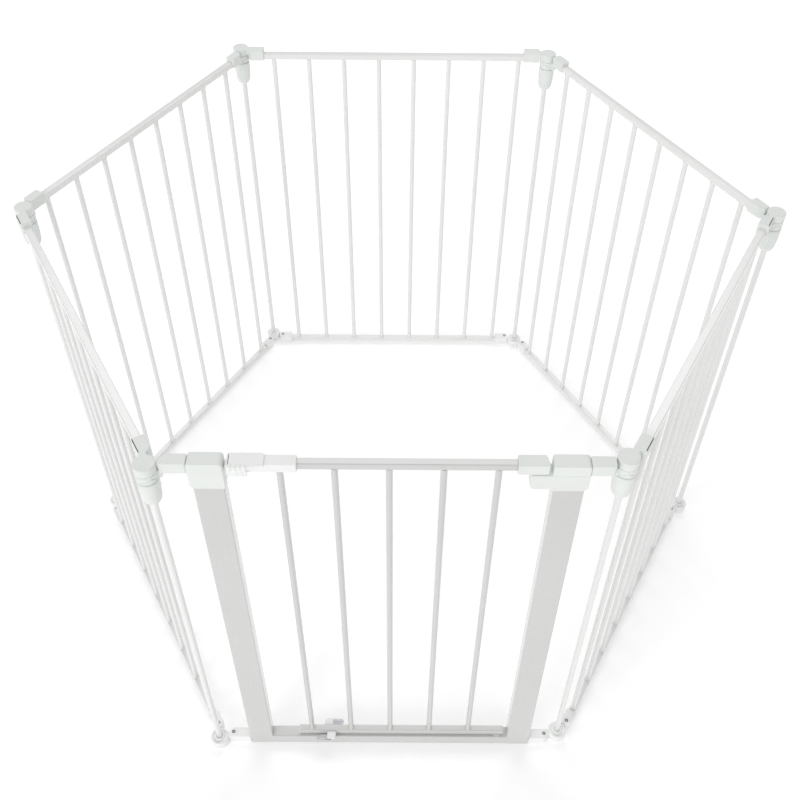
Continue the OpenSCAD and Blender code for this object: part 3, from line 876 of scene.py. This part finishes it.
def dress_door():
    """Rails, bars, latch and hinge block of the door."""
    top_rail = rail(HOUSING_RIGHT - 58, BLOCK_RIGHT - 27, DOOR_RAIL_D, DOOR_TOP_Z, DOOR_TOP_H)
    bars = bar_row(DOOR_BAR_X, DOOR_BAR_COUNT, DOOR_RAIL_Z + DOOR_RAIL_H, DOOR_TOP_Z)
    dress("door_top_rail", put(top_rail, GATE), GATE_STEEL_PAINTED_SHADE)
    dress("door_bottom_rail", put(door_bottom_rail(), GATE), GATE_STEEL_PAINTED_SHADE)
    dress("door_bars", put(bars, GATE), GATE_STEEL_PAINTED_SHADE)
    dress("latch_housing", put(latch_housing(), GATE), LATCH_PLASTIC)
    dress("door_hinge_block", put(hinge_block(), GATE), PLASTIC)
    dress("latch_grip", put(latch_grip(), GATE), LATCH_PLASTIC)


def dress_door_pins():
    """The door's two hinge pins, and the plug in the free end of its bottom rail."""
    pin_r, half = 4, DOOR_RAIL_D / 2
    top_pin = round_rod(pin_r, PEN_H - 32, PEN_H - 11)
    bottom_pin = round_rod(pin_r, THRESHOLD_H - 7, DOOR_RAIL_Z + 7)
    plug = block((DOOR_RAIL_LEFT - 1.5, -half, DOOR_RAIL_Z),
                 (DOOR_RAIL_LEFT + 0.5, half, DOOR_RAIL_Z + DOOR_RAIL_H), 0.9)
    dress("door_top_pin", put(top_pin, HINGE_LINE), SCREW_STEEL)
    dress("door_bottom_pin", put(bottom_pin, HINGE_LINE), SCREW_STEEL)
    dress("door_end_plug", put(plug, GATE), PLASTIC)


def dress_door_stops():
    """One stop on either side of the bottom rail."""
    for rear, word in ((False, "front"), (True, "rear")):
        place = stop_matrix(rear)
        dress(f"door_stop_base_{word}", put(stop_base(), place), LATCH_PLASTIC)
        dress(f"door_stop_blade_{word}", put(stop_blade(), place), CLIP_METAL)


dress_panels()
dress_gate_frame()
dress_gate_connectors()
dress_pivot_bush()
dress_door()
dress_door_pins()
dress_door_stops()


# ---------------------------------------------------------------- camera, floor and light
def aim(obj, place, target):
    """Puts a light at its place and turns it to the target."""
    obj.location = place
    obj.rotation_euler = (Vector(target) - Vector(place)).to_track_quat("-Z", "Y").to_euler()


def add_camera():
    """The photograph's view: from above the gate, tilted down to the far corners."""
    yaw, tilt, roll = math.radians(0.15), math.radians(46.58), math.radians(0.49)
    data = bpy.data.cameras.new("view")
    data.lens = 45.1
    data.sensor_width = 36
    camera = bpy.data.objects.new("view", data)
    camera.location = (-0.0012, -1.3163, 1.7237)
    turn = (Matrix.Rotation(-yaw, 3, "Z") @ Matrix.Rotation(math.pi / 2 - tilt, 3, "X")
            @ Matrix.Rotation(roll, 3, "Z"))
    camera.rotation_euler = turn.to_euler()
    bpy.context.scene.collection.objects.link(camera)
    bpy.context.scene.camera = camera


def add_light(name, place, target, size, watts):
    """A soft rectangular light that the camera doesn't see."""
    data = bpy.data.lights.new(name, "AREA")
    data.shape = "RECTANGLE"
    data.size, data.size_y = size
    data.energy = watts
    light = bpy.data.objects.new(name, data)
    light.visible_camera = False
    aim(light, place, target)
    bpy.context.scene.collection.objects.link(light)


def add_floor():
    """Pale floor that gives off a little light, so that it comes out pure white."""
    bm = bmesh.new()
    bmesh.ops.create_grid(bm, x_segments=8, y_segments=8, size=24)
    floor = as_object(bm, "studio_floor")
    paper = surface("pale studio floor", (0.95, 0.95, 0.95), (0.94, 0.94, 0.94), 0.7,
                    patch=0.6, grain=60.0, bump=0.02, depth=0.0002)
    glow = paper.node_tree.nodes["Principled BSDF"]
    glow.inputs["Emission Color"].default_value = (1, 1, 1, 1)
    glow.inputs["Emission Strength"].default_value = 0.21
    floor.data.materials.append(paper)


def add_sky(strength):
    """Even white light from all round."""
    world = bpy.data.worlds.new("soft studio")
    world.use_nodes = True
    world.node_tree.nodes["Background"].inputs["Color"].default_value = (1, 1, 1, 1)
    world.node_tree.nodes["Background"].inputs["Strength"].default_value = strength
    bpy.context.scene.world = world


add_camera()
add_floor()
add_sky(0.56)
add_light("front left", (-6.0, -8.0, 4.5), (0, 0, 0.4), (5.0, 5.0), 350)
add_light("front right", (6.0, -8.0, 4.5), (0, 0, 0.4), (5.0, 5.0), 70)
add_light("back wash", (0, 5.0, 7.0), (0, 0, 0.4), (7.0, 4.0), 200)
bpy.context.scene.view_settings.view_transform = "Standard"
